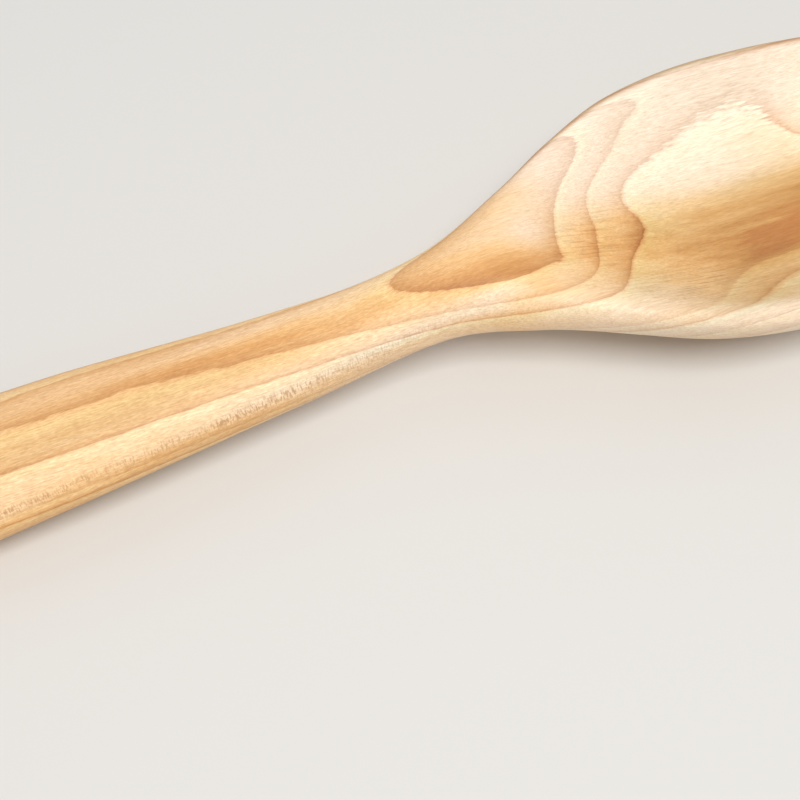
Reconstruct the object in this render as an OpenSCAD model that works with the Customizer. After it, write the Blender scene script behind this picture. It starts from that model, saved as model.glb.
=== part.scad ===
// Carved wooden cooking spoon, cut in one piece from a single billet, bowl up.
// X runs along the spoon towards the tip of the bowl, Y is its width and Z is up.
// The origin is the middle of the small sanded flat under the bowl, on the surface it rests on.

/* [Overall] */
// Length from the butt of the handle to the tip of the bowl
spoon_length = 277; // [255:1:310]
// How far the shoulder stands to one side of the handle's line, as carved by eye
shoulder_lean = 1; // [0:0.1:2]

/* [Bowl] */
// Width of the bowl at its widest
bowl_w = 62; // [54:1:70]
// Distance from the widest place of the bowl to its tip
bowl_front = 52; // [46:1:58]
// Distance from the waist of the handle to the widest place of the bowl
bowl_back = 80; // [74:1:88]
// Depth of the hollow below the rim
hollow_depth = 13; // [9:0.5:14.5]
// Width of the wall at the rim, seen from above
rim_w = 2.6; // [2:0.2:5]
// Radius that softens the inner edge of the rim
rim_softness = 2.4; // [1:0.2:4]
// Radius that softens the hollow's back edge, where it runs out into the shoulder
shoulder_softness = 5.6; // [3:0.2:8]

/* [Handle] */
// Width of the grip at the butt
grip_w = 30; // [24:0.5:34]
// Width of the waist, where the handle meets the bowl
waist_w = 16.6; // [14:0.2:20]
// Length over which the butt is rounded off
butt_round = 15; // [10:1:20]

/* [Hidden] */

// Places along the spoon
tip_x = bowl_front;
butt_x = tip_x - spoon_length;
waist_x = -bowl_back;

// Number of sections along the handle and the bowl, and of points round half a section
handle_steps = 32;
bowl_steps = 64;
half_ring = 30;
ring = 2 * half_ring;

// A point of the plan outline on the handle or on the flank of the bowl. The first number is how
// far it lies along that stretch, the second how far the width has gone from waist to grip or bowl.
function on_handle(along, spread) =
    [butt_x + along * (waist_x - butt_x), (waist_w + spread * (grip_w - waist_w)) / 2];
function on_flank(along, spread) =
    [waist_x * (1 - along), (waist_w + spread * (bowl_w - waist_w)) / 2];

// Half width along the spoon, up to the widest place. The last point only levels the curve there.
half_width = [
    on_handle(0, 1), on_handle(0.24, 0.87), on_handle(0.52, 0.61), on_handle(0.79, 0.14),
    on_handle(1, 0),
    on_flank(0.225, 0.27), on_flank(0.4, 0.575), on_flank(0.575, 0.84), on_flank(0.775, 0.975),
    on_flank(1, 1), on_flank(1.225, 0.975)
];

// Height of the widest line of each section, and how far it lies to one side
waist_line = [
    [butt_x, 8], [butt_x + 35, 9], [butt_x + 75, 12.3], [-100, 14.6], [-72, 18.7],
    [-52, 21.1], [-32, 20.9], [-10, 20], [15, 18.2], [tip_x, 18.2]
];
side_line = [[butt_x, 0], [-110, 0], [-58, shoulder_lean], [0, 0], [tip_x, -0.2]];

// Height of wood above the widest line (crown) and below it (keel)
crown = [[butt_x, 6.6], [butt_x + 75, 7], [-72, 7.2], [-45, 6.4], [-20, 5.6], [0, 5.2], [tip_x, 4.6]];
keel = [
    [butt_x, 8.2], [butt_x + 25, 9.15], [butt_x + 75, 7.9], [-110, 7.3], [-80, 8], [-60, 12],
    [-40, 17.4], [-20, 20], [0, 20], [20, 18.5], [tip_x, 17.5]
];

// The hollow: where its middle is, and how far it reaches back, forward and to each side
hollow_x = 1;
hollow_back = 58;
hollow_front = tip_x - hollow_x - rim_w - 1;
hollow_side = bowl_w / 2 - rim_w;
hollow_curve = 2.4;
rim_height = 2.7;

// A smooth curve through a row of points
function slope(row, i) =
    let(a = max(i - 1, 0), b = min(i + 1, len(row) - 1))
    (row[b][1] - row[a][1]) / (row[b][0] - row[a][0]);
function span_of(row, x, i = 0) =
    i >= len(row) - 2 || x < row[i + 1][0] ? i : span_of(row, x, i + 1);
function curve(row, x) =
    let(i = span_of(row, x), h = row[i + 1][0] - row[i][0])
    let(t = min(1, max(0, (x - row[i][0]) / h)))
    (2 * t ^ 3 - 3 * t ^ 2 + 1) * row[i][1] + (t ^ 3 - 2 * t ^ 2 + t) * h * slope(row, i)
        + (3 * t ^ 2 - 2 * t ^ 3) * row[i + 1][1] + (t ^ 3 - t ^ 2) * h * slope(row, i + 1);
function ease(x, from, to) =
    let(t = min(1, max(0, (x - from) / (to - from)))) t * t * (3 - 2 * t);

// Quarter of a rounded square: 1 at 0, falling to 0 at 1, squarer as the power grows
function round_off(t, power) = max(0, 1 - min(1, abs(t)) ^ power) ^ (1 / power);
function nose(x, power) = round_off(max(0, x) / tip_x, power);
function heel(x, length) = round_off(1 - min(1, (x - butt_x) / length), 2.2);

// Sizes of the section at x
function section_w(x) = curve(half_width, min(x, 0)) * nose(x, 2.15) * heel(x, butt_round);
function section_up(x) = curve(crown, x) * nose(x, 2.6) * heel(x, 0.6 * butt_round);
function section_down(x) = curve(keel, x) * nose(x, 2) * heel(x, 0.75 * butt_round);

// Blend of two heights that keeps the lower one
function lower_of(a, b, soft) = min(a, b) - max(0, soft - abs(a - b)) ^ 2 / (4 * soft);

// Height of the upper face and of the underside at x, a fraction u of the half width out
function dome_z(x, u) =
    curve(waist_line, x) + section_up(x) * round_off(u, 2.3 + 0.3 * ease(x, -70, -30));
function hollow_z(x, y) =
    let(reach = x < hollow_x ? hollow_back : hollow_front)
    let(out = norm([(x - hollow_x) / reach, y / hollow_side]))
    curve(waist_line, x) + rim_height + hollow_depth * (out ^ hollow_curve - 1);
function upper_z(x, u) =
    let(dome = dome_z(x, u))
    let(soft = shoulder_softness + (rim_softness - shoulder_softness) * ease(x, -60, -20))
    let(cut = lower_of(dome, hollow_z(x, u * section_w(x)), soft))
    dome + (cut - dome) * (1 - abs(u) ^ 24);
function under_z(x, u) =
    curve(waist_line, x) - section_down(x) * round_off(u, 2.3 - 0.35 * ease(x, -85, -35));

// Places of the sections: close together at the butt and at the tip
stations = concat(
    [for (i = [1 : handle_steps]) butt_x + (waist_x - butt_x) * (1 - cos(90 * i / handle_steps))],
    [for (i = [1 : bowl_steps - 1]) waist_x + (tip_x - waist_x) * sin(90 * i / bowl_steps)]
);
last = len(stations) - 1;

function section_point(x, k) =
    let(u = cos(180 * k / half_ring))
    [x, curve(side_line, x) + u * section_w(x), k <= half_ring ? upper_z(x, u) : under_z(x, u)];
function end_point(x) = [x, curve(side_line, x), curve(waist_line, x)];

// The carved billet, as a skin over its sections with a point at each end
module carved_billet() {
    butt_end = len(stations) * ring;
    tip_end = butt_end + 1;
    points = concat(
        [for (x = stations) for (k = [0 : ring - 1]) section_point(x, k)],
        [end_point(butt_x), end_point(tip_x)]
    );
    sides = [
        for (i = [0 : last - 1]) for (k = [0 : ring - 1])
        let(a = i * ring + k, b = i * ring + (k + 1) % ring, c = a + ring, d = b + ring)
        each [[a, b, d], [a, d, c]]
    ];
    ends = [
        for (k = [0 : ring - 1]) let(n = (k + 1) % ring)
        each [[butt_end, n, k], [tip_end, last * ring + k, last * ring + n]]
    ];
    polyhedron(points, concat(sides, ends), convexity = 6);
}

// The spoon, sanded flat where the belly of the bowl and the butt touch the table
module spoon() {
    color("burlywood")
    intersection() {
        carved_billet();
        translate([butt_x - 10, -bowl_w, 0])
            cube([spoon_length + 20, 2 * bowl_w, 60]);
    }
}

spoon();
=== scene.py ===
"""Looks of a carved wooden cooking spoon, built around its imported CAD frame.

The spoon is one billet of fruitwood. Its surface is laid out again between the butt and the tip of the
CAD spoon, as a dense smooth skin with faint tool marks. Its wood is a solid 3-D pattern: growth rings
about a pith that lies above the spoon, a heartwood stain, fibres, pores and ray flecks. Shapes are
worked out in millimetres.
"""

import math

import bpy
import numpy as np
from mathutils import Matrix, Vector, noise


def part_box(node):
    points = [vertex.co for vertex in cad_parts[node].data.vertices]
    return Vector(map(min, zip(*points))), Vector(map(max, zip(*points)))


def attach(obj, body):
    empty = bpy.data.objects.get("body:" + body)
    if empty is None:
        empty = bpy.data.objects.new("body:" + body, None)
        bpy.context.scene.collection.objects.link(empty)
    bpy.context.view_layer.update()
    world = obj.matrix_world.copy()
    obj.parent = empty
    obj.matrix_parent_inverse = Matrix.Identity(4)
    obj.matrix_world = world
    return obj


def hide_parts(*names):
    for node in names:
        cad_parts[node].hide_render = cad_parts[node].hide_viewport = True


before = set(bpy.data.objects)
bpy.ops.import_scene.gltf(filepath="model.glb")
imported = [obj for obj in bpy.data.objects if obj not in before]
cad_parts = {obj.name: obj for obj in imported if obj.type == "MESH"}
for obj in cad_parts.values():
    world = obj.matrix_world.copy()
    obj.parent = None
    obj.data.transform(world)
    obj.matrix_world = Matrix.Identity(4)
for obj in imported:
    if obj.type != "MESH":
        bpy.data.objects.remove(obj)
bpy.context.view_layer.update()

MM = 0.001
butt_corner, tip_corner = (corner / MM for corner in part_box("spoon"))

# ---------------------------------------------------------------- shape, in millimetres

# The sizes, outlines and heights are the same as the CAD source's
TIP_X = tip_corner.x
BUTT_X = butt_corner.x
BOWL_W = 62.0
WAIST_W = 16.6
GRIP_W = 30.0
WAIST_X = -80.0
BUTT_ROUND = 15.0

HOLLOW_X = 1.0
HOLLOW_BACK = 58.0
RIM_W = 2.6
HOLLOW_FRONT = TIP_X - HOLLOW_X - RIM_W - 1.0
HOLLOW_SIDE = BOWL_W / 2 - RIM_W
HOLLOW_DEPTH = 13.0
HOLLOW_CURVE = 2.4
RIM_HEIGHT = 2.7
RIM_SOFTNESS = 2.4
SHOULDER_SOFTNESS = 5.6

# How square the roundings are, where 2 is an ellipse and more is squarer: the tip from above, the
# top and the underside of the tip from the side, the butt, and the sections of the handle
PLAN_NOSE = 2.15
CROWN_NOSE = 2.6
KEEL_NOSE = 2
HEEL = 2.2
SECTION = 2.3
# How much squarer the sections are above the bowl's widest line, and below it
BOWL_TOP = 0.3
BOWL_KEEL = -0.35
# How sharply the hollow ends before the outer edge of the rim: a higher power is sharper
EDGE_BLEND = 24
# How soft the edge of the sanded flat is, in square millimetres
FLAT_SOFTNESS = 0.01


def on_handle(along, spread):
    """A point of the plan outline between butt and waist, in parts of the length and of the swell."""
    return BUTT_X + along * (WAIST_X - BUTT_X), (WAIST_W + spread * (GRIP_W - WAIST_W)) / 2


def on_flank(along, spread):
    """The same between the waist and the widest place of the bowl."""
    return WAIST_X * (1 - along), (WAIST_W + spread * (BOWL_W - WAIST_W)) / 2


HALF_WIDTH = [
    on_handle(0, 1), on_handle(0.24, 0.87), on_handle(0.52, 0.61), on_handle(0.79, 0.14),
    on_handle(1, 0),
    on_flank(0.225, 0.27), on_flank(0.4, 0.575), on_flank(0.575, 0.84), on_flank(0.775, 0.975),
    on_flank(1, 1), on_flank(1.225, 0.975),
]
WAIST_LINE = [
    (BUTT_X, 8), (BUTT_X + 35, 9), (BUTT_X + 75, 12.3), (-100, 14.6), (-72, 18.7),
    (-52, 21.1), (-32, 20.9), (-10, 20), (15, 18.2), (TIP_X, 18.2),
]
SIDE_LINE = [(BUTT_X, 0), (-110, 0), (-58, 1), (0, 0), (TIP_X, -0.2)]
CROWN = [(BUTT_X, 6.6), (BUTT_X + 75, 7), (-72, 7.2), (-45, 6.4), (-20, 5.6), (0, 5.2), (TIP_X, 4.6)]
KEEL = [
    (BUTT_X, 8.2), (BUTT_X + 25, 9.15), (BUTT_X + 75, 7.9), (-110, 7.3), (-80, 8), (-60, 12),
    (-40, 17.4), (-20, 20), (0, 20), (20, 18.5), (TIP_X, 17.5),
]


def curve(row, x):
    """The smooth curve through a row of points, as the CAD source draws it."""
    xs, ys = np.array(row, float).T
    before = np.maximum(np.arange(len(xs)) - 1, 0)
    after = np.minimum(np.arange(len(xs)) + 1, len(xs) - 1)
    slope = (ys[after] - ys[before]) / (xs[after] - xs[before])
    i = np.clip(np.searchsorted(xs, x, side="right") - 1, 0, len(xs) - 2)
    span = xs[i + 1] - xs[i]
    t = np.clip((x - xs[i]) / span, 0, 1)
    start = (2 * t**3 - 3 * t**2 + 1) * ys[i] + (t**3 - 2 * t**2 + t) * span * slope[i]
    return start + (3 * t**2 - 2 * t**3) * ys[i + 1] + (t**3 - t**2) * span * slope[i + 1]


def ease(x, start, end):
    """0 up to start, 1 from end on, and smooth between them."""
    t = np.clip((x - start) / (end - start), 0, 1)
    return t * t * (3 - 2 * t)


def round_off(t, power):
    """Quarter of a rounded square: 1 at 0, falling to 0 at 1."""
    return np.clip(1 - np.minimum(1, np.abs(t)) ** power, 0, None) ** (1 / power)


def nose(x, power):
    """How the tip rounds off a size: 1 up to the widest place, 0 at the tip."""
    return round_off(np.maximum(0, x) / TIP_X, power)


def heel(x, length):
    """How the butt rounds off a size: 0 at the butt, 1 from that length on."""
    return round_off(1 - np.minimum(1, (x - BUTT_X) / length), HEEL)


def half_width(x):
    return curve(HALF_WIDTH, np.minimum(x, 0)) * nose(x, PLAN_NOSE) * heel(x, BUTT_ROUND)


def upper_z(x, u):
    """Height of the upper face at x, a part u of the half width out from the middle."""
    up = curve(CROWN, x) * nose(x, CROWN_NOSE) * heel(x, 0.6 * BUTT_ROUND)
    dome = curve(WAIST_LINE, x) + up * round_off(u, SECTION + BOWL_TOP * ease(x, -70, -30))
    reach = np.where(x < HOLLOW_X, HOLLOW_BACK, HOLLOW_FRONT)
    out = np.hypot((x - HOLLOW_X) / reach, u * half_width(x) / HOLLOW_SIDE)
    hollow = curve(WAIST_LINE, x) + RIM_HEIGHT + HOLLOW_DEPTH * (out**HOLLOW_CURVE - 1)
    soft = SHOULDER_SOFTNESS + (RIM_SOFTNESS - SHOULDER_SOFTNESS) * ease(x, -60, -20)
    blend = np.clip(soft - np.abs(dome - hollow), 0, None) ** 2 / (4 * soft)
    cut = np.minimum(dome, hollow) - blend
    return dome + (cut - dome) * (1 - np.abs(u) ** EDGE_BLEND)


def under_z(x, u):
    """Height of the underside there, sanded flat where it would go below the table."""
    down = curve(KEEL, x) * nose(x, KEEL_NOSE) * heel(x, 0.75 * BUTT_ROUND)
    z = curve(WAIST_LINE, x) - down * round_off(u, SECTION + BOWL_KEEL * ease(x, -85, -35))
    return (z + np.sqrt(z**2 + FLAT_SOFTNESS)) / 2


# ---------------------------------------------------------------- skin

STATIONS = 420
RING = 128
# How far the skin lies inside the CAD surface in mm, so that its tool marks stay in the CAD box
KEEP_INSIDE = 0.14


def skin_points():
    """Points of the closed skin, ring by ring from butt to tip, then the two end points."""
    part = (np.arange(STATIONS) + 1) / (STATIONS + 1)
    x = BUTT_X + (TIP_X - BUTT_X) * (0.5 - 0.5 * np.cos(np.pi * part))
    angle = 2 * np.pi * np.arange(RING) / RING
    x, angle = np.meshgrid(x, angle, indexing="ij")
    u = np.cos(angle)
    y = curve(SIDE_LINE, x) + u * half_width(x)
    # The two side points of a ring count as its upper face, whatever rounding does to their sine
    z = np.where(np.sin(angle) >= -1e-9, upper_z(x, u), under_z(x, u))
    ends = np.array([BUTT_X, TIP_X])
    end_points = np.stack([ends, curve(SIDE_LINE, ends), curve(WAIST_LINE, ends)], 1)
    return np.concatenate([np.stack([x, y, z], -1).reshape(-1, 3), end_points])


def skin_faces():
    """Quads between the rings, and a fan of triangles at each end."""
    faces = []
    for i in range(STATIONS - 1):
        for k in range(RING):
            a, b = i * RING + k, i * RING + (k + 1) % RING
            faces.append((a, b, b + RING, a + RING))
    butt_end = STATIONS * RING
    last = (STATIONS - 1) * RING
    for k in range(RING):
        after = (k + 1) % RING
        faces.append((butt_end, after, k))
        faces.append((butt_end + 1, last + k, last + after))
    return faces


def new_mesh(name, points, faces):
    """A smooth mesh object from points in millimetres."""
    mesh = bpy.data.meshes.new(name)
    mesh.from_pydata([tuple(p * MM) for p in points], [], faces)
    mesh.update()
    mesh.shade_smooth()
    piece = bpy.data.objects.new(name, mesh)
    bpy.context.scene.collection.objects.link(piece)
    return piece


def vertex_normals(mesh):
    """The mesh's smooth normals, one row for each point."""
    normals = np.zeros(len(mesh.vertices) * 3)
    mesh.vertex_normals.foreach_get("vector", normals)
    return normals.reshape(-1, 3)


# The faint waves that knife, gouge and sanding leave: length along the spoon, width across it and
# height, in mm, and a shift that sets the two kinds apart
LONG_WAVE = (26, 9, 0.10, 0)
SHORT_WAVE = (9, 5, 0.035, 40)


def wave(point, length, width, height, shift):
    """Height in mm of one kind of wave at a point."""
    x, y, z = point
    return height * noise.noise(Vector((x / length + shift, y / width, z / width)))


def tool_marks(points):
    """Height in mm of the tool marks at each point."""
    return np.array([wave(point, *LONG_WAVE) + wave(point, *SHORT_WAVE) for point in points])


# ---------------------------------------------------------------- wood: where the rings lie

def pith(x):
    """Place across (y) and above (z) of the tree's pith, which bends slightly along the spoon."""
    return 7.6 + 0.036 * x + 0.00024 * x**2, 40.3 - 0.105 * x - 0.00054 * x**2


# Places where the rings swell or dip: x, y, reach along x, reach along y, height, in mm
RING_SWELLS = [
    (-41, 12, 18, 8, 2.7), (-52, 18, 19, 8.5, -3.5), (-37, 2, 8, 5, -0.85), (-29, 24.5, 6, 3, -0.8),
    (-5, -10, 12, 5, -0.8), (-135, 8.5, 40, 2.5, -0.7), (-146, 1, 26, 4, 0.3), (-170, -6, 12, 4, -0.3),
    (-130, 1, 10, 4, 0.1), (12, 17, 8, 5, -2.7), (-54, -4, 5, 3.5, -1.1),
]

# Places where the wood is stained warmer, or paler where the last number is negative:
# x, y, reach along x, reach along y, in mm, and how much
STAINS = [
    # heartwood on the floor of the hollow and ahead of it
    (5, -6, 40, 9, 0.75), (-6, -7, 20, 5.5, 0.26), (-30, -5, 24, 9, 0.36), (-10, 3, 40, 5, 0.35),
    (12, -4, 13, 11, 0.6), (3, 5, 12, 4, 0.1),
    # the near wall and the back wall of the hollow
    (-25, -18, 25, 8, 0.3), (-22, -22, 13, 4.5, 0.26), (-16, -14, 8, 4, 0.13), (-38, 1, 7, 5, 0.18),
    # heartwood in a narrow run over the shoulder, a pale place above it and patches on both sides
    (-50, -3, 9, 8, 0.32), (-70, -3, 12, 2.4, 0.4), (-66, -0.5, 8, 3.5, 0.2),
    (-60, 2.5, 5, 4.5, -0.2), (-63, -7, 5, 3, 0.32), (-62, 12, 8, 5, 0.14),
    # streaks along the middle of the handle, paler wood beyond them and a warm strip by the far edge
    (-130, 1.6, 40, 1.8, 0.2), (-100, -0.5, 22, 2, 0.19), (-145, -2.5, 35, 2.2, 0.15),
    (-115, 5, 35, 2.5, -0.14), (-115, 9.5, 30, 2.5, 0.25),
    # pale wood on the near side of the handle and of the neck
    (-78, -6.5, 22, 2.5, -0.3), (-105, -8, 25, 2.5, -0.2),
    # paler and warmer places on the far wall
    (-8, 24, 22, 4.5, -0.13), (-1, 14, 11, 5, 0.14),
]

# Places where the colour is made darker and greyer, given in the same way
DARKENED = [
    (-12, 0, 24, 8, 0.8), (-2, 5, 16, 5, 0.7), (-26, -4, 10, 6, 0.3), (-26, -18, 18, 8, 0.85),
    (-12, -16, 11, 9, 1.2), (-30, -24, 8, 3, 0.5), (-35, 2, 8, 4, 0.4),
    (-42, -11, 7, 5, 0.4), (-145, -3, 35, 3, 0.6),
]

# Places where a scraper has left fine lines along the grain, given in the same way
SCRAPED = [(-34, -15, 13, 5, 1.0), (-50, -1, 8, 5, 0.8), (-43, 6, 7, 4, 0.4)]

# Places where a growth ring has a ragged edge, torn along the fibres, given in the same way
RAGGED = [(-3, 21, 10, 7, 1.5), (-22, 15, 12, 8, 0.5), (-42, 22, 5, 5, 0.9), (-28, 27, 5, 3, 0.7)]
# Distance of those rings from the pith, and how far from each the tearing reaches, in mm
RAGGED_RINGS = (22.6, 25.9, 28.7)
RAGGED_REACH = 1.4

# How much warmer the handle's wood is, and the far and the near edge all along the spoon, where warmer
# wood is deepened with painted shade on the rounded edges that turn away from the light
HANDLE_WARMTH = 0.42
FAR_EDGE_WARMTH_AND_SHADE = 0.35
NEAR_EDGE_WARMTH_AND_SHADE = 0.28
# Half width of the band of ray flecks, in mm
FLECK_REACH = 0.65
# Millimetres for each radian round the pith, so that the place in the wood is about to scale
ROUND_PITH = 30


def bumps(rows, x, y):
    """Sum of smooth round bumps at the given places."""
    total = np.zeros_like(x)
    for at_x, at_y, reach_x, reach_y, height in rows:
        total += height * np.exp(-(((x - at_x) / reach_x) ** 2) - ((y - at_y) / reach_y) ** 2)
    return total


def wood_fields(points):
    """For each point: its growth ring, its place in the wood, and how much each finish shows."""
    x, y, z = points.T
    pith_y, pith_z = pith(x)
    across, below = y - pith_y, pith_z - z
    distance = np.hypot(across, below)
    turn = np.arctan2(across, below)
    width = np.maximum(half_width(x), 1)
    u = (y - curve(SIDE_LINE, x)) / width
    handle = HANDLE_WARMTH * (1 - ease(x, -80, -50))
    # Warmer wood along the far edge, deepened with painted shade
    far_edge_and_shade = FAR_EDGE_WARMTH_AND_SHADE * ease(u, 0.9, 0.98)
    # Warmer wood along the near edge of the handle, deepened with painted shade where it turns down
    near_edge_and_shade = NEAR_EDGE_WARMTH_AND_SHADE * ease(-u, 0.85, 1.0) * (1 - 0.8 * ease(x, -90, -60))
    # The flecks follow the near side of the handle, and thin out towards the bowl and the butt
    fleck_u = -0.86 - 0.03 * ease(x, -150, -120) - 0.04 * ease(x, -85, -60)
    flecks = np.exp(-(((u - fleck_u) * width / FLECK_REACH) ** 2))
    flecks *= (1 - 0.8 * ease(x, -105, -75)) * ease(x, -212, -185)
    ring = distance + bumps(RING_SWELLS, x, y)
    near_ring = sum(np.exp(-(((ring - torn) / RAGGED_REACH) ** 2)) for torn in RAGGED_RINGS)
    return {
        "ring_mm": ring,
        "wood_place": np.stack([x, turn * ROUND_PITH, distance], 1),
        "surface_place": np.stack([x, y, 0 * z], 1),
        # Painted shade: a darker band along the far edge of the whole spoon, where it turns away from
        # the light
        "painted_far_shade": ease(u, 0.9, 0.96),
        "handle": 1 - ease(x, -85, -55),
        "stain": handle + far_edge_and_shade + near_edge_and_shade + bumps(STAINS, x, y),
        "flecks": flecks,
        "darkened": bumps(DARKENED, x, y),
        "scraped": bumps(SCRAPED, x, y),
        "ragged": bumps(RAGGED, x, y) * near_ring,
    }


def store_field(mesh, name, values):
    """Keep a number or a vector for each point of the mesh, for the material to read."""
    if values.ndim == 2:
        layer = mesh.attributes.new(name, "FLOAT_VECTOR", "POINT")
        layer.data.foreach_set("vector", values.astype(np.float32).ravel())
    else:
        layer = mesh.attributes.new(name, "FLOAT", "POINT")
        layer.data.foreach_set("value", values.astype(np.float32))


def make_spoon():
    """The spoon's skin with its tool marks, and the fields that its wood is made from."""
    points = skin_points()
    faces = skin_faces()
    draft = new_mesh("draft", points, faces)
    normals = vertex_normals(draft.data)
    bpy.data.objects.remove(draft)
    points = points + normals * (tool_marks(points) - KEEP_INSIDE)[:, None]
    # Nothing reaches below the surface that the spoon rests on
    points[:, 2] = np.maximum(points[:, 2], 0)
    spoon = new_mesh("spoon_skin", points, faces)
    for name, values in wood_fields(points).items():
        store_field(spoon.data, name, values)
    return spoon


# ---------------------------------------------------------------- wood: colour and finish

class Shader:
    """Short names for the node kinds that a material here is made of."""

    def __init__(self, name):
        self.material = bpy.data.materials.new(name)
        self.material.use_nodes = True
        self.tree = self.material.node_tree
        self.tree.nodes.clear()

    def node(self, kind, **settings):
        made = self.tree.nodes.new(kind)
        for key, value in settings.items():
            setattr(made, key, value)
        return made

    def put(self, socket, value):
        """Link the value to the socket if it is another socket, or set it as a constant."""
        if isinstance(value, bpy.types.NodeSocket):
            self.tree.links.new(value, socket)
        else:
            socket.default_value = value

    def field(self, name, vector=False):
        made = self.node("ShaderNodeAttribute", attribute_name=name)
        return made.outputs["Vector" if vector else "Fac"]

    def math(self, operation, a, b=0.0, c=0.0, clamp=False):
        made = self.node("ShaderNodeMath", operation=operation, use_clamp=clamp)
        for socket, value in zip(made.inputs, (a, b, c)):
            self.put(socket, value)
        return made.outputs[0]

    def scaled(self, vector, scale):
        made = self.node("ShaderNodeVectorMath", operation="MULTIPLY")
        self.put(made.inputs[0], vector)
        self.put(made.inputs[1], scale)
        return made.outputs[0]

    def noise(self, vector, detail=2.0, roughness=0.5):
        """Noise from 0 to 1 over a vector that is already in the noise's own units."""
        made = self.node("ShaderNodeTexNoise", noise_dimensions="3D")
        self.put(made.inputs["Vector"], vector)
        self.put(made.inputs["Scale"], 1.0)
        self.put(made.inputs["Detail"], detail)
        self.put(made.inputs["Roughness"], roughness)
        return made.outputs["Fac"]

    def remap(self, value, low, high, to_low=0.0, to_high=1.0):
        """Stretch the values from low to high over a new span, and hold the rest at its ends."""
        made = self.node("ShaderNodeMapRange", clamp=True)
        for socket, given in zip(made.inputs, (value, low, high, to_low, to_high)):
            self.put(socket, given)
        return made.outputs["Result"]

    def tint(self, colour, part, full_tint):
        """Colour, moved the given part of the way to itself times a tint."""
        return self.mix(part, colour, self.mix(1.0, colour, full_tint, "MULTIPLY"))

    def shade(self, colour, value, low_tint, high_tint):
        """Colour times a tint, which runs from low_tint where value is 0 to high_tint where it is 1."""
        return self.mix(1.0, colour, self.mix(value, low_tint, high_tint), "MULTIPLY")

    def ramp(self, value, stops, interpolation="LINEAR"):
        """Colour along a row of stops, each a position from 0 to 1 and a colour."""
        made = self.node("ShaderNodeValToRGB")
        made.color_ramp.interpolation = interpolation
        elements = made.color_ramp.elements
        while len(elements) < len(stops):
            elements.new(0.5)
        for element, (position, colour) in zip(elements, stops):
            element.position = position
        for element, (position, colour) in zip(elements, stops):
            element.color = (*colour, 1)
        self.put(made.inputs["Fac"], value)
        return made.outputs["Color"]

    def mix(self, part, a, b, blend="MIX"):
        """The colour part of the way from a to b, or a blended with b to that part."""
        made = self.node("ShaderNodeMix", data_type="RGBA", blend_type=blend)
        sockets = {s.identifier: s for s in made.inputs}
        self.put(sockets["Factor_Float"], part)
        for name, value in (("A_Color", a), ("B_Color", b)):
            self.put(sockets[name], (*value, 1) if isinstance(value, tuple) else value)
        return next(s for s in made.outputs if s.identifier == "Result_Color")

    def surface(self, inputs):
        """Make the surface one principled shader with these inputs, and return the material."""
        shader = self.node("ShaderNodeBsdfPrincipled")
        for name, value in inputs.items():
            self.put(shader.inputs[name], value)
        output = self.node("ShaderNodeOutputMaterial")
        self.put(output.inputs["Surface"], shader.outputs[0])
        return self.material


def srgb(red, green, blue):
    """Linear colour from the 0 to 255 values that a screen shows."""
    def linear(level):
        level /= 255
        return level / 12.92 if level <= 0.04045 else ((level + 0.055) / 1.055) ** 2.4
    return linear(red), linear(green), linear(blue)


# Each year's growth: distance from the pith at which it ends, in mm, how dark its end is, how
# much warmer (or paler, if negative) it is than the others, and how bright its early wood is
YEARS = [
    (13.5, 0.5, 0, 0.2), (16.0, 0.5, 0, 0.2), (22.6, 0.9, 0, 0.2), (25.9, 0.8, 0, 0.9),
    (28.7, 1.0, 0, 0.7), (34.7, 0.35, -0.05, 1.0), (36.6, 1.0, -0.05, 0.5), (39.8, 0.5, -0.1, 0.9),
    (43.0, 0.7, -0.03, 0.4), (46.4, 0.4, 0, 0.4), (50.0, 0.7, 0.03, 0.4), (53.0, 0.5, 0, 0.4),
]
# Distances from the pith that the ramps cover, in mm
RING_SPAN = (11.0, 53.0)
# Half the width of the step from one year to the next, as a part of that span
YEAR_STEP = 0.002
# What is added to a year's warmth, so that it can be kept as a colour level of 0 or more
WARMTH_ZERO = 0.5


def year_ends():
    """Where each year but the last ends, as a part of the span that the ramps cover."""
    first, last = RING_SPAN
    return [(year[0] - first) / (last - first) for year in YEARS[:-1]]


def growth_stops():
    """Ramp stops of a saw-tooth: 0 where a year's growth begins, 1 where it ends."""
    stops = [(0.0, (0, 0, 0))]
    for end in year_ends():
        stops += [(end - YEAR_STEP, (1, 1, 1)), (end + YEAR_STEP, (0, 0, 0))]
    return stops + [(1.0, (1, 1, 1))]


def year_stops():
    """Stepped ramp stops: each year's dark end (red), warmth (green) and bright start (blue)."""
    looks = [(dark, WARMTH_ZERO + warmth, bright) for end, dark, warmth, bright in YEARS]
    return list(zip([0.0] + year_ends(), looks))


# Colour of the wood at each warmth, from pale sapwood, through the tan of the handle, to
# orange-brown heartwood
WARMTH_COLOURS = [
    (-0.1, srgb(253, 238, 216)), (0.0, srgb(253, 231, 207)), (0.25, srgb(250, 215, 173)),
    (0.5, srgb(246, 200, 142)), (0.75, srgb(234, 178, 114)), (1.0, srgb(217, 156, 91)),
    (1.15, srgb(206, 137, 78)),
]
WARMTH_SPAN = (WARMTH_COLOURS[0][0], WARMTH_COLOURS[-1][0])


def warmth_stops():
    """Ramp stops of those colours, over the span from the palest to the warmest."""
    palest, warmest = WARMTH_SPAN
    return [((warmth - palest) / (warmest - palest), colour) for warmth, colour in WARMTH_COLOURS]


# How narrow the early wood, the late wood and its last cells are: a higher power is narrower
EARLY_POWER = 4.0
LATE_POWER = 3.4
LAST_CELLS_POWER = 10.0

# Tints that the wood's colour is multiplied by, as red, green and blue
EARLY_TINT = (1.02, 1.15, 1.1)
LATE_TINT = (0.89, 0.82, 0.79)
LAST_CELLS_TINT = (0.69, 0.58, 0.51)
DARKENED_TINT = (0.81, 0.85, 0.86)
# Painted shade along the far edge
PAINTED_FAR_SHADE_TINT = (0.65, 0.55, 0.48)
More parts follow.
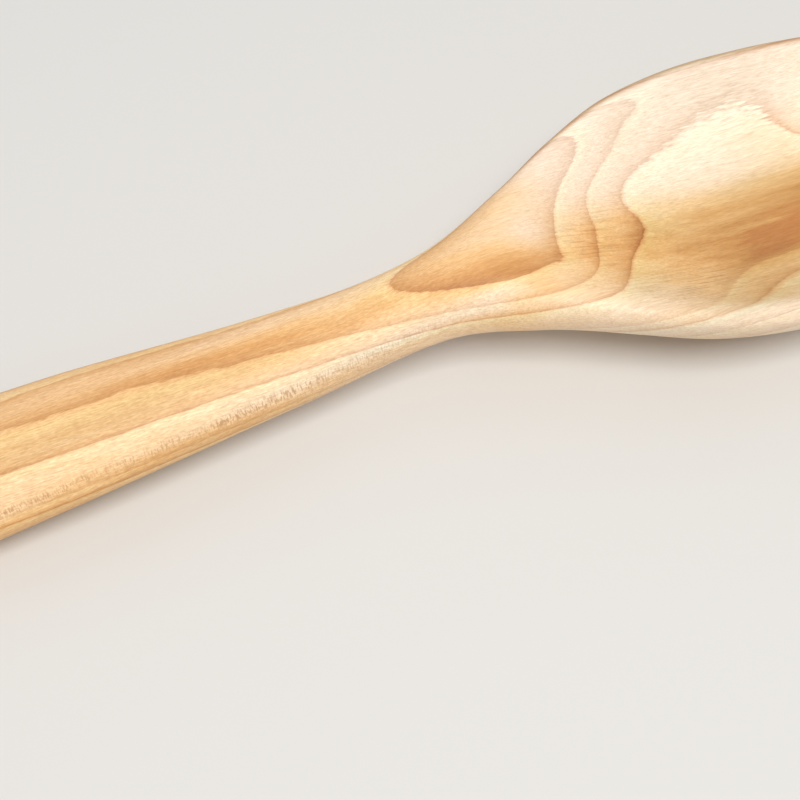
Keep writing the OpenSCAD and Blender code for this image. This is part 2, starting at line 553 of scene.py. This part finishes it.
# Pairs of tints between which a fine pattern runs
FIBRE_TINTS = (0.93, 0.91, 0.89), (1.07, 1.09, 1.11)
THREAD_TINTS = (0.89, 0.86, 0.83), (1.09, 1.13, 1.17)
SPECKLE_TINTS = (1.06, 1.1, 1.14), (0.94, 0.9, 0.87)
SCRAPER_TINTS = (1.04, 1.03, 1.02), (0.76, 0.7, 0.64)
# Colours of the pores and the ray flecks, and how much of each shows
PORE_COLOUR, PORE_SHOW = srgb(196, 138, 84), 0.3
FLECK_COLOUR, FLECK_SHOW = srgb(188, 138, 88), 0.72


class Wood(Shader):
    """Solid wood, built up from its growth rings to its finish."""

    def __init__(self, name):
        super().__init__(name)
        self.place = self.field("wood_place", vector=True)
        self.stain = self.field("stain")
        self.scraped = self.field("scraped")

    def grain(self, along, across, detail=2.0, roughness=0.5):
        """Noise in the wood, by how often it changes in a mm along the grain and across it."""
        return self.noise(self.scaled(self.place, (along, across, across)), detail, roughness)

    def growth(self):
        """How much a place is early wood, late wood and last cells, and its year's own warmth."""
        # The rings wander a little, and are torn along the fibres where their edge is ragged
        teeth = self.math("SUBTRACT", self.grain(0.28, 1.6), 0.5)
        tear = self.math("MULTIPLY_ADD", self.field("ragged"), 1.15, 0.35)
        wander = self.math("SUBTRACT", self.grain(0.02, 0.08, detail=1.0), 0.5)
        ring = self.math("MULTIPLY_ADD", teeth, tear, self.field("ring_mm"))
        ring = self.math("MULTIPLY_ADD", wander, 0.5, ring)
        ring = self.remap(ring, *RING_SPAN)
        growth = self.ramp(ring, growth_stops())
        year = self.node("ShaderNodeSeparateColor")
        self.put(year.inputs["Color"], self.ramp(ring, year_stops(), "CONSTANT"))
        darkness, warmth, brightness = (year.outputs[name] for name in ("Red", "Green", "Blue"))
        early = self.math("POWER", self.math("SUBTRACT", 1.0, growth), EARLY_POWER)
        early = self.math("MULTIPLY", early, brightness)
        late = self.math("MULTIPLY", self.math("POWER", growth, LATE_POWER), darkness)
        last_cells = self.math("MULTIPLY", self.math("POWER", growth, LAST_CELLS_POWER), darkness)
        return early, late, last_cells, self.math("SUBTRACT", warmth, WARMTH_ZERO)

    def ring_colour(self):
        """Colour of the stained rings, with the darker, greyer places and painted shade along the far
        edge.
        """
        early, late, last_cells, year_warmth = self.growth()
        # The stain runs in long streaks, and late wood takes up more of it
        streaks = self.remap(self.grain(0.045, 0.5, detail=5.0, roughness=0.62), 0.3, 0.7, 0.8, 1.2)
        warmth = self.math("MULTIPLY_ADD", self.stain, streaks, year_warmth)
        warmth = self.math("MULTIPLY_ADD", late, self.math("MULTIPLY", self.stain, 0.4), warmth)
        colour = self.ramp(self.remap(warmth, *WARMTH_SPAN), warmth_stops())
        colour = self.tint(colour, early, EARLY_TINT)
        colour = self.tint(colour, late, LATE_TINT)
        # A year's last cells draw a line, which is stronger in stained wood
        taken_up = self.math("MULTIPLY_ADD", self.stain, 0.8, 0.3, clamp=True)
        colour = self.tint(colour, self.math("MULTIPLY", last_cells, taken_up), LAST_CELLS_TINT)
        # Darker and greyer at the listed places
        colour = self.tint(colour, self.math("MINIMUM", self.field("darkened"), 1.0), DARKENED_TINT)
        # Painted shade along the far edge, all along the spoon
        return self.tint(colour, self.field("painted_far_shade"), PAINTED_FAR_SHADE_TINT)

    def scraper_lines(self):
        """Fine lines along the spoon, which show where the wood is scraped."""
        place = self.scaled(self.field("surface_place", vector=True), (0.12, 2.4, 0.0))
        return self.remap(self.noise(place, detail=2.0, roughness=0.6), 0.5, 0.6)

    def ray_flecks(self):
        """Fine short dashes across the grain, in loose clusters."""
        dashes = self.remap(self.grain(3.4, 1.0), 0.47, 0.62)
        clusters = self.remap(self.grain(0.14, 0.3, detail=1.0), 0.35, 0.6, 0.5, 1.0)
        return self.math("MULTIPLY", self.math("MULTIPLY", dashes, clusters), self.field("flecks"))

    def with_grain(self, colour, fibres, lines, pores):
        """That colour with the fine grain and marks on it."""
        colour = self.shade(colour, self.remap(fibres, 0.3, 0.7), *FIBRE_TINTS)
        threads = self.grain(0.4, 4.0, detail=3.0, roughness=0.6)
        colour = self.shade(colour, self.remap(threads, 0.3, 0.7), *THREAD_TINTS)
        speckle = self.remap(self.grain(1.0, 3.4), 0.36, 0.64)
        colour = self.mix(self.field("handle"), colour, self.shade(colour, speckle, *SPECKLE_TINTS))
        scraped = self.math("MINIMUM", self.scraped, 1.0)
        colour = self.mix(scraped, colour, self.shade(colour, lines, *SCRAPER_TINTS))
        colour = self.mix(self.math("MULTIPLY", pores, PORE_SHOW), colour, PORE_COLOUR)
        return self.mix(self.math("MULTIPLY", self.ray_flecks(), FLECK_SHOW), colour, FLECK_COLOUR)

    def raised_grain(self, fibres, lines, pores):
        """Normals of fine raised fibres, with the pores and the scraper's lines cut in."""
        height = self.math("MULTIPLY_ADD", pores, -0.8, fibres)
        height = self.math("MULTIPLY_ADD", self.math("MULTIPLY", lines, self.scraped), -2.0, height)
        bump = self.node("ShaderNodeBump")
        self.put(bump.inputs["Strength"], 0.25)
        self.put(bump.inputs["Distance"], 0.00015)
        self.put(bump.inputs["Height"], height)
        return bump.outputs["Normal"]


def wood_material():
    """Fruitwood under a thin satin oil finish."""
    wood = Wood("oiled_fruitwood")
    fibres = wood.grain(0.08, 1.6, detail=5.0, roughness=0.75)
    pores = wood.remap(wood.grain(0.35, 7.0), 0.6, 0.7)
    lines = wood.scraper_lines()
    return wood.surface({
        "Base Color": wood.with_grain(wood.ring_colour(), fibres, lines, pores),
        "Roughness": wood.remap(fibres, 0.2, 0.8, 0.42, 0.58),
        "Specular IOR Level": 0.4,
        "Normal": wood.raised_grain(fibres, lines, pores),
    })


# ---------------------------------------------------------------- studio

def floor_material():
    return Shader("pale_paper").surface({
        "Base Color": (0.72, 0.71, 0.69, 1),
        "Roughness": 0.9,
        "Specular IOR Level": 0.1,
    })


def make_floor():
    """A plain pale floor, just below the plane that the spoon rests on."""
    half = 2.0
    just_below = 0.00005
    corners = [(-half, -half, 0), (half, -half, 0), (half, half, 0), (-half, half, 0)]
    mesh = bpy.data.meshes.new("floor")
    mesh.from_pydata(corners, [], [(0, 1, 2, 3)])
    floor = bpy.data.objects.new("floor", mesh)
    bpy.context.scene.collection.objects.link(floor)
    floor.data.materials.append(floor_material())
    floor.location.z = -just_below


def direction(azimuth, elevation):
    """Unit vector towards an azimuth, where 0 is -Y, and an elevation above the floor, in degrees."""
    turn, rise = math.radians(azimuth), math.radians(elevation)
    return Vector((math.sin(turn) * math.cos(rise), -math.cos(turn) * math.cos(rise), math.sin(rise)))


def make_light(name, target, azimuth, elevation, distance, size, power, colour):
    """A soft square light, placed by the direction that it shines from."""
    data = bpy.data.lights.new(name, "AREA")
    data.shape = "SQUARE"
    data.size = size
    data.energy = power
    data.color = colour
    way = direction(azimuth, elevation)
    light = bpy.data.objects.new(name, data)
    light.location = target + way * distance
    light.rotation_euler = way.to_track_quat("Z", "Y").to_euler()
    bpy.context.scene.collection.objects.link(light)


def make_lights():
    """A soft key light high in front, a weaker and wider fill from behind, and an even white sky."""
    middle = Vector((-0.06, 0, 0.01))
    make_light("key", middle, azimuth=-8, elevation=74, distance=0.9, size=0.35,
               power=5.6, colour=(1.0, 0.985, 0.96))
    make_light("fill", middle, azimuth=160, elevation=45, distance=1.1, size=0.9,
               power=0.9, colour=(0.96, 0.98, 1.0))
    world = bpy.data.worlds.new("studio")
    world.use_nodes = True
    background = world.node_tree.nodes["Background"]
    background.inputs["Color"].default_value = (1, 1, 1, 1)
    background.inputs["Strength"].default_value = 0.45
    bpy.context.scene.world = world


# The photo's viewpoint, found by fitting the spoon's outline, in degrees and metres
CAMERA_AZIMUTH = -21.0
CAMERA_ELEVATION = 65.5
CAMERA_ANGLE = 40.0
CAMERA_DISTANCE = 0.2137
CAMERA_TARGET = Vector((-0.0902, -0.0092, 0))


def make_camera():
    """A camera at the photo's angle, with everything sharp."""
    back = direction(CAMERA_AZIMUTH, CAMERA_ELEVATION)
    data = bpy.data.cameras.new("camera")
    data.sensor_width = 36.0
    data.lens = data.sensor_width / 2 / math.tan(math.radians(CAMERA_ANGLE / 2))
    data.clip_start = 0.005
    camera = bpy.data.objects.new("camera", data)
    camera.location = CAMERA_TARGET + back * CAMERA_DISTANCE
    camera.rotation_euler = (-back).to_track_quat("-Z", "Y").to_euler()
    bpy.context.scene.collection.objects.link(camera)
    bpy.context.scene.camera = camera


# ---------------------------------------------------------------- scene

make_camera()
make_lights()
make_floor()
bpy.context.scene.view_settings.view_transform = "Standard"

spoon = make_spoon()
spoon.data.materials.append(wood_material())
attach(spoon, "root")
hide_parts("spoon")
